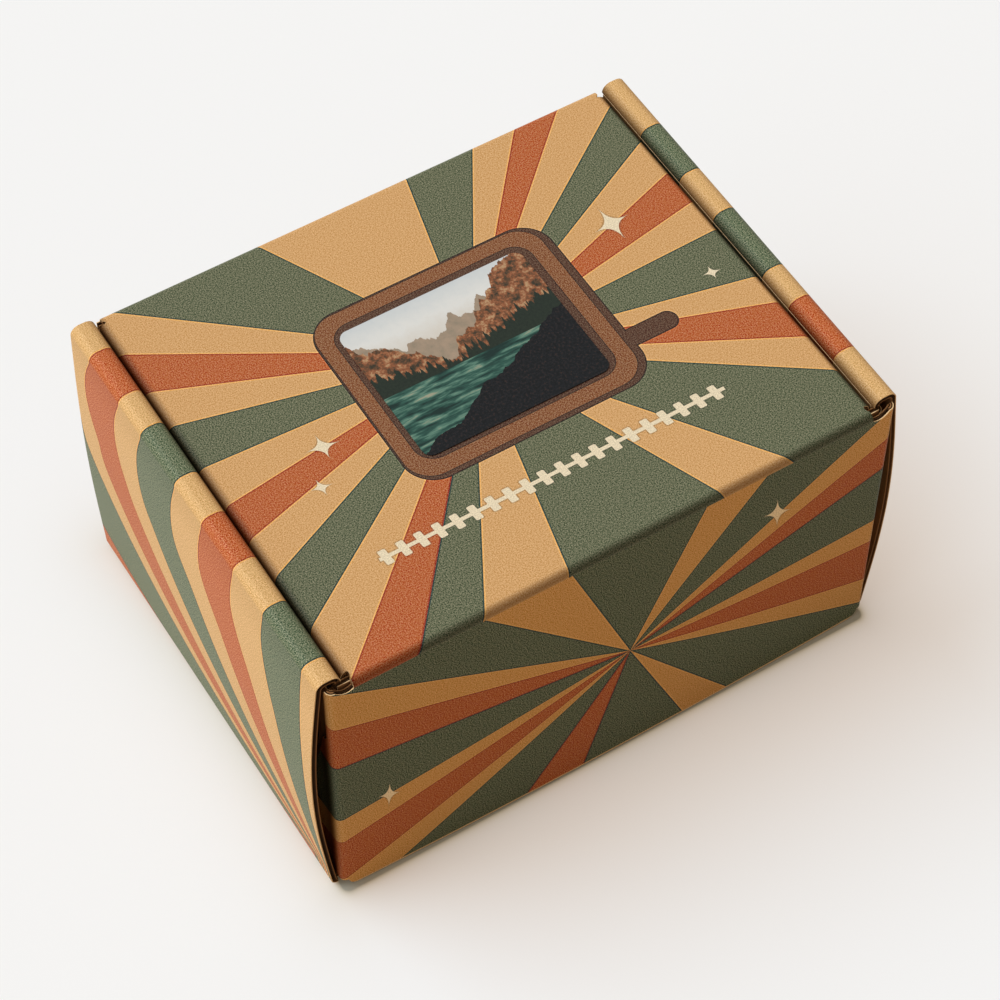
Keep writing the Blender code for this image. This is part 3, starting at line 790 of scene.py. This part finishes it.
def straightened(loop):
    """A loop without the points that lie on a straight run."""
    kept = []
    for k, point in enumerate(loop):
        before, after = Vector(loop[k - 1]), Vector(loop[(k + 1) % len(loop)])
        here = Vector(point)
        first, second = here - before, after - here
        if abs(first.cross(second)) > STRAIGHT * first.length * second.length:
            kept.append(point)
    return kept


def flat_place(facing, level):
    """Where a point of a flat panel lies."""
    u_axis, v_axis = AXES[facing]
    normal = u_axis.cross(v_axis)
    return lambda u, v, depth: u_axis * u + v_axis * v + normal * (level - depth)


def flat_board(name, node, facing, body, outer, flutes="v", uv=same, trim=None,
               rim="rim"):
    """Board in place of a flat packed panel, whose outline trim can change."""
    outline, holes, level = panel_skin(node, facing)
    if trim:
        outline = trim(outline)
    obj = make_board(name, outline, flat_place(facing, level), outer, rim, holes, flutes=flutes,
                     uv=uv)
    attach(obj, body)
    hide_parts(node)


def crease(name, centre, first, second, span, outer, uv):
    """The rounded strip between two panels that meet at a right angle.

    first and second are the panels' outward normals, and span its ends in the
    world. Its own coordinates are the length round the outer skin, and the
    place along the fold.
    """
    axis = first.cross(second)
    axis = Vector([abs(value) for value in axis])
    centre = Vector(centre)

    def place(around, along, depth):
        angle = around / FOLD
        outwards = first * math.cos(angle) + second * math.sin(angle)
        return centre + (FOLD - depth) * outwards + axis * along

    outline = [(0, span[0]), (QUARTER, span[0]), (QUARTER, span[1]), (0, span[1])]
    steps = [QUARTER * k / FOLD_STEPS for k in range(1, FOLD_STEPS)]
    return make_board(name, outline, place, outer, cuts=(steps, ()), flutes=None, uv=uv)


def bow_at(y):
    """Bulge of a side wall's middle at that depth."""
    share = (y - ROLL_FRONT) / (ROLL_BACK - ROLL_FRONT)
    return BOW_FRONT + (BOW_BACK - BOW_FRONT) * share


def side_place(side):
    """Section of a side wall and its roll, by the place along the outer skin.

    The second coordinate is the height up to the roll, and runs on over it.
    """
    def place(y, t, depth):
        y = y * side
        if t < FOLD:
            angle = (FOLD - t) / FOLD
            x = WALL_OUT - FOLD + (FOLD - depth) * math.cos(angle)
            z = FOLD - (FOLD - depth) * math.sin(angle)
        elif t <= ROLL_LEG:
            share = (t - FOLD) / (ROLL_LEG - FOLD)
            x = WALL_OUT + bow_at(y) * math.sin(math.pi * share) - depth
            z = t
        elif t <= ROLL_LEG + ROLL_TURN:
            angle = (t - ROLL_LEG) / ROLL_RADIUS
            x = WALL_OUT - ROLL_RADIUS + (ROLL_RADIUS - depth) * math.cos(angle)
            z = ROLL_LEG + (ROLL_RADIUS - depth) * math.sin(angle)
        elif t <= ROLL_LEG + ROLL_TURN + ROLL_FLAT:
            x = WALL_OUT - ROLL_RADIUS - (t - ROLL_LEG - ROLL_TURN)
            z = ROLL_TOP - depth
        else:
            angle = (t - ROLL_LEG - ROLL_TURN - ROLL_FLAT) / ROLL_RADIUS
            x = INNER_WALL_IN + ROLL_RADIUS - (ROLL_RADIUS - depth) * math.sin(angle)
            z = ROLL_LEG + (ROLL_RADIUS - depth) * math.cos(angle)
        return Vector((side * x, y, z))

    return place


def add_side(side, side_name):
    """One side's outer wall, roll and inner wall, all of one printed strip."""
    place = side_place(side)
    ends = sorted((side * ROLL_FRONT, side * ROLL_BACK))

    def print_place(u, v):
        return u * side, v

    bottom = FOLD - QUARTER
    outline = [(ends[0], bottom), (ends[1], bottom), (ends[1], ROLL_LEG), (ends[0], ROLL_LEG)]
    rows = [FOLD - QUARTER * k / FOLD_STEPS for k in range(FOLD_STEPS)]
    rows += [FOLD + (ROLL_LEG - FOLD) * k / BOW_STEPS for k in range(1, BOW_STEPS)]
    stations = [ends[0] + (ends[1] - ends[0]) * k / BOW_STATIONS for k in range(1, BOW_STATIONS)]
    wall = make_board(f"{side_name}_outer_wall_board", outline, place, side_name,
                      cuts=(stations, rows), flutes="u", uv=print_place)
    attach(wall, "tray")
    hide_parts(f"{side_name}_outer_wall")

    outline = [(ends[0], ROLL_LEG), (ends[1], ROLL_LEG), (ends[1], ROLL_END), (ends[0], ROLL_END)]
    rows = [ROLL_LEG + ROLL_TURN * k / ROLL_STEPS for k in range(1, ROLL_STEPS + 1)]
    rows += [ROLL_END - ROLL_TURN * k / ROLL_STEPS for k in range(1, ROLL_STEPS + 1)]
    roll = make_board(f"{side_name}_roll_board", outline, place, side_name, cuts=((), rows),
                      flutes="u", uv=print_place)
    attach(roll, "tray")
    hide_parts(f"{side_name}_top_roll")

    facing = "left" if side > 0 else "right"
    flat_board(f"{side_name}_inner_wall_board", f"{side_name}_inner_wall", facing, "tray", side_name,
               flutes="u", uv=lambda u, v: (-u * side, ROLL_END + ROLL_LEG - v))


def add_tray():
    """The tray's flat panels and their creases."""
    flat_board("base_board", "base_panel", "bottom", "tray", "kraft")
    flat_board("front_wall_board", "front_wall", "front", "tray", "kraft")
    flat_board("back_wall_board", "back_wall", "back", "tray", "back")
    for side, side_name in ((-1, "left"), (1, "right")):
        add_side(side, side_name)
        outward = X * side
        for end in ("front", "back"):
            node = f"{end}_{side_name}_dust_flap"
            flat_board(f"{node}_board", node, side_name, "tray", "kraft")
        span = (low(f"front_{side_name}_dust_flap").z, high(f"front_{side_name}_dust_flap").z)
        centre = (side * (DUST_OUT - FOLD), FRONT_WALL_OUT + FOLD, 0)
        strip = crease(f"front_{side_name}_corner", centre, -Y, outward, span, "kraft", same)
        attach(strip, "tray")
        span = (low(f"back_{side_name}_dust_flap").z, high(f"back_{side_name}_dust_flap").z)
        centre = (side * (EAR_OUT - FOLD), BACK - FOLD, 0)
        strip = crease(f"back_{side_name}_corner", centre, Y, outward, span, "back",
                       lambda s, t, side=side: (-side * (EAR_OUT - FOLD + s), t))
        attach(strip, "tray")
    half = DUST_OUT - FOLD
    centre = (0, FRONT_WALL_OUT + FOLD, FOLD)
    strip = crease("front_base_crease", centre, -Y, -Z, (-half, half), "kraft", same)
    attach(strip, "tray")
    half = EAR_OUT - FOLD
    centre = (0, BACK - FOLD, FOLD)
    strip = crease("back_base_crease", centre, Y, -Z, (-half, half), "back",
                   lambda s, t: (-t, FOLD - s))
    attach(strip, "tray")


def arc(centre, radius, start, end):
    """Points on an arc. Angles in degrees."""
    turns = [math.radians(start + (end - start) * k / ARC_STEPS) for k in range(ARC_STEPS + 1)]
    return [(centre[0] + radius * math.cos(a), centre[1] + radius * math.sin(a)) for a in turns]


def curve(start, control, end):
    """Points on a soft curve from start to end, drawn towards control."""
    points = []
    for k in range(ARC_STEPS + 1):
        t = k / ARC_STEPS
        shares = ((1 - t) ** 2, 2 * t * (1 - t), t * t)
        points.append(tuple(sum(share * p[axis] for share, p in zip(shares, (start, control, end)))
                            for axis in (0, 1)))
    return points


def both_sides(right):
    """A whole outline from its right half, given from front or bottom to back or top."""
    return right + [(-u, v) for u, v in reversed(right)]


def add_lid():
    """The lid, its side flaps and the creases between them."""
    side_in = LID_SIDE - FOLD
    flap_top = LID_TOP - FOLD
    far = max(point[0] for point in panel_skin("lid_right_side_flap", "right")[0]
              if point[1] > flap_top - SAME_PLACE)
    front, back = FRONT + FOLD, BACK - FOLD
    near = front + CORNER_RUN
    drawn_in = CREASE_END - CORNER_SCOOP
    right = curve((CREASE_END, front), (drawn_in, (front + near) / 2), (side_in, near))
    right += curve((side_in, far), (drawn_in, (far + back) / 2), (CREASE_END, back))
    flat_board("lid_board", "lid_panel", "top", "lid", "lid", trim=lambda outline: both_sides(right))
    for side, side_name in ((-1, "left"), (1, "right")):
        node = f"lid_{side_name}_side_flap"
        body = f"{side_name}_side_flap"
        flat_board(f"{node}_board", node, side_name, body, "lid", flutes="u",
                   uv=lambda u, v, side=side: (side * (side_in + QUARTER + flap_top - v), u * side))
        centre = Vector((side * side_in, 0, flap_top))
        strip = crease(f"lid_{side_name}_crease", centre, Z, X * side, (near, far), "lid",
                       lambda s, t, side=side: (side * (side_in + s), t))
        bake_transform(strip)
    span = (-CREASE_END, CREASE_END)
    centre = Vector((0, BACK - FOLD, flap_top))
    strip = crease("lid_back_crease", centre, Z, Y, span, "lid", lambda s, t: (t, BACK - FOLD + s))
    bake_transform(strip)
    centre = Vector((0, FRONT + FOLD, flap_top))
    strip = crease("lid_front_crease", centre, Z, -Y, span, "lid", lambda s, t: (t, FRONT + FOLD - s))
    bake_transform(strip)


def raised_ear(outline, side, top):
    """An ear with a narrow margin that runs on up its fold."""
    fold = side * (FRONT + FOLD)
    upper = max(point[1] for point in outline)
    corner = next(k for k, (u, v) in enumerate(outline)
                  if abs(u - fold) < SAME_PLACE and abs(v - upper) < SAME_PLACE)
    margin = fold + side * EAR_MARGIN
    added = [(fold, top), (margin, top - EAR_TAPER), (margin, upper + EAR_TAPER),
             (fold + side * EAR_TAPER, upper)]
    if side > 0:
        added.reverse()
    return outline[:corner] + added + outline[corner + 1:]


def add_front_flap():
    """The bowed front flap, its corner folds and its ears."""
    half = EAR_OUT - FOLD
    top = LID_TOP - FOLD
    shoulder = top + FLAP_SHOULDER

    def place(x, z, depth):
        across = max(0.0, 1 - (x / half) ** 2)
        down = min(1.0, max(0.0, (top - z) / (top - FLAP_LOW)))
        return Vector((x, FRONT - FLAP_BOW * across * down + depth, z))

    right = arc((half - FLAP_CORNER, FLAP_LOW + FLAP_CORNER), FLAP_CORNER, -90, 0)
    middle = (half + CREASE_END) / 2
    right += curve((half, shoulder), (middle, top - FLAP_SCOOP), (CREASE_END, top))
    outline = both_sides(right)
    columns = [half * (2 * k / FLAP_CELLS - 1) for k in range(1, FLAP_CELLS)]
    rows = [FLAP_LOW + (top - FLAP_LOW) * k / FLAP_CELLS for k in range(1, FLAP_CELLS)]
    obj = make_board("front_flap_board", outline, place, "flap", cuts=(columns, rows))
    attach(obj, "front_flap")
    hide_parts("lid_front_flap")
    for side, side_name in ((-1, "left"), (1, "right")):
        span = (FLAP_LOW + FLAP_CORNER, shoulder)
        centre = (side * half, FRONT + FOLD, 0)
        strip = crease(f"front_flap_{side_name}_fold", centre, -Y, X * side, span, "flap",
                       lambda s, t, side=side: (side * (half + s), t))
        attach(strip, "front_flap")
        node = f"lid_front_{side_name}_ear"
        flat_board(f"{node}_board", node, side_name, "front_flap", "flap",
                   uv=lambda u, v, side=side: (side * (half + QUARTER - FRONT - FOLD) + u, v),
                   trim=lambda outline, side=side: raised_ear(outline, side, shoulder), rim="kraft")


def add_picture():
    """The glossy print in the lid's frame."""
    middle = (PRINT_LOW + PRINT_HIGH) / 2
    half = (PRINT_HIGH - PRINT_LOW) / 2
    outline = []
    for k, (side_u, side_v) in enumerate(((1, -1), (1, 1), (-1, 1), (-1, -1))):
        centre = (middle.x + side_u * (half.x - PRINT_CORNER),
                  middle.y + side_v * (half.y - PRINT_CORNER))
        outline += arc(centre, PRINT_CORNER, 90 * k - 90, 90 * k)
    bm = bmesh.new()
    bm.loops.layers.uv.new("flat")
    region = cut_region(outline)
    thickness = PRINT_HIGH.z - PRINT_LOW.z

    def place(u, v, depth):
        return Vector((u, v, PRINT_HIGH.z - depth))

    add_layer(bm, region, place, lambda u, v: 0, lambda u, v: thickness, (0, 0, 0), same)
    region.free()
    obj = make_object("glossy_print", bm, ("picture",))
    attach(obj, "lid")
    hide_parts("photo_print")


# The photograph's viewpoint
CAMERA_PLACE = Vector((-0.4143, -0.6828, 1.1770))
CAMERA_AZIMUTH = 31.76          # degrees from +Y towards +X
CAMERA_DIP = 54.43              # degrees below the horizon
CAMERA_ROLL = 0.18
FOCAL_SHARE = 3.110             # focal length, as a share of the picture's width


def add_camera():
    """The camera, fitted to the photograph."""
    data = bpy.data.cameras.new("camera")
    data.sensor_width = 36
    data.lens = FOCAL_SHARE * data.sensor_width
    data.clip_start = 0.05
    data.clip_end = 50
    camera = bpy.data.objects.new("camera", data)
    bpy.context.scene.collection.objects.link(camera)
    turn, dip = math.radians(CAMERA_AZIMUTH), math.radians(CAMERA_DIP)
    forward = Vector((math.sin(turn) * math.cos(dip), math.cos(turn) * math.cos(dip), -math.sin(dip)))
    level = forward.to_track_quat("-Z", "Y").to_matrix()
    roll = Matrix.Rotation(math.radians(CAMERA_ROLL), 3, "Z")
    camera.matrix_world = Matrix.Translation(CAMERA_PLACE) @ (level @ roll).to_4x4()
    bpy.context.scene.camera = camera


# Light
BACKDROP = rgb(245, 244, 242)
AMBIENT = (1.0, 0.80, 0.60, 1.0)
AMBIENT_STRENGTH = 0.36
SUNS = (
    # name, the way it shines, strength, angle across, colour
    ("key", (0.42, -0.45, -0.79), 2.5, 40, (0.86, 0.94, 1.0)),
    ("side", (0.85, -0.05, -0.50), 1.0, 60, (0.86, 0.94, 1.0)),
)
FLOOR_GLOW = 0.48               # share of the floor's light that no shadow takes
FLOOR_WARM = (0.9975, 0.8475, 0.7425, 1)
FLOOR_WARM_STRENGTH = 1.2
FLOOR_PALE = (0.625, 0.783, 0.896, 1)
FLOOR_BOUNCE = (0.50, 0.37, 0.24, 1)
FLOOR_HALF = 6
FLOOR_DROP = 0.0002             # so that it doesn't coincide with the box
CONTACT_REACH = (0.0015, 0.0150)    # how far two painted shadows reach from the box's foot, near and wide
CONTACT_LOSS = (0.60, 0.33)         # shares of the glow that they take
# Colours of the glow and of the floor in the painted shadow at the foot
FOOT_WARM = (1.24, 0.93, 0.51, 1)
FOOT_PALE = (0.71, 0.70, 0.62, 1)


def seen_directly(tree):
    """Whether the stage is seen by the camera, in a reflection or through glass, as 0 or 1."""
    path = add_node(tree, "LightPath")
    rays = [Field(tree, path.outputs[name])
            for name in ("Is Camera Ray", "Is Glossy Ray", "Is Transmission Ray")]
    return rays[0].most(rays[1]).most(rays[2])


def painted_contact_shadow(tree):
    """How near the box's foot each place on the floor is, from 1 to 0, near and wide, for the painted
    contact shadow.
    """
    place = add_node(tree, "NewGeometry").outputs["Position"]
    split = add_node(tree, "SeparateXYZ", {0: place})
    near_line, far_line = FRONT - FLAP_BOW, BACK - FOLD
    across = Field(tree, split.outputs[0])
    back = Field(tree, split.outputs[1]) - (near_line + far_line) / 2
    foot = rounded(across, back, WALL_OUT - FOLD, (far_line - near_line) / 2, FOLD)
    return [(foot.most(0.0) / -reach).math("EXPONENT") for reach in CONTACT_REACH]


def add_stage():
    """A pale floor and backdrop with a painted contact shadow round the box's foot, soft suns and a
    soft sky.
    """
    world = bpy.data.worlds.new("studio")
    bpy.context.scene.world = world
    world.use_nodes = True
    tree = world.node_tree
    background = tree.nodes["Background"]
    background.inputs["Color"].default_value = AMBIENT
    background.inputs["Strength"].default_value = AMBIENT_STRENGTH
    seen = add_node(tree, "Background", {"Color": BACKDROP, "Strength": 1.0})
    inputs = {0: seen_directly(tree), 1: background.outputs[0], 2: seen.outputs[0]}
    mix = add_node(tree, "MixShader", inputs)
    connect(tree, mix.outputs[0], tree.nodes["World Output"].inputs[0])

    for name, way, strength, across, colour in SUNS:
        data = bpy.data.lights.new(name, "SUN")
        data.energy = strength
        data.angle = math.radians(across)
        data.color = colour
        sun = bpy.data.objects.new(name, data)
        bpy.context.scene.collection.objects.link(sun)
        sun.rotation_euler = Vector(way).to_track_quat("-Z", "Y").to_euler()

    bm = bmesh.new()
    bmesh.ops.create_grid(bm, x_segments=1, y_segments=1, size=FLOOR_HALF)
    mesh = bpy.data.meshes.new("floor")
    bm.to_mesh(mesh)
    bm.free()
    floor = bpy.data.objects.new("floor", mesh)
    floor.location.z = -FLOOR_DROP
    bpy.context.scene.collection.objects.link(floor)
    material = bpy.data.materials.new("floor")
    material.use_nodes = True
    tree = material.node_tree
    shader = tree.nodes["Principled BSDF"]
    shader.inputs["Roughness"].default_value = 0.9
    shader.inputs["Specular IOR Level"].default_value = 0.1
    direct = seen_directly(tree)
    # Painted contact shadow: the floor's colour and glow change near the box's foot
    near, wide = painted_contact_shadow(tree)
    pale = mixed(tree, direct, FLOOR_BOUNCE, mixed(tree, wide, FLOOR_PALE, FOOT_PALE))
    connect(tree, pale, shader.inputs["Base Color"])
    warm = mixed(tree, near, FLOOR_WARM, FOOT_WARM)
    left = (near * CONTACT_LOSS[0] + wide * CONTACT_LOSS[1]) * -1.0 + 1.0
    glow = add_node(tree, "Emission", {"Color": warm, "Strength": left * FLOOR_WARM_STRENGTH})
    inputs = {0: direct * FLOOR_GLOW, 1: shader.outputs[0], 2: glow.outputs[0]}
    mix = add_node(tree, "MixShader", inputs)
    connect(tree, mix.outputs[0], tree.nodes["Material Output"].inputs[0])
    mesh.materials.append(material)


bpy.context.scene.view_settings.view_transform = "Standard"
make_materials()
add_camera()
add_tray()
add_lid()
add_front_flap()
add_picture()
add_stage()
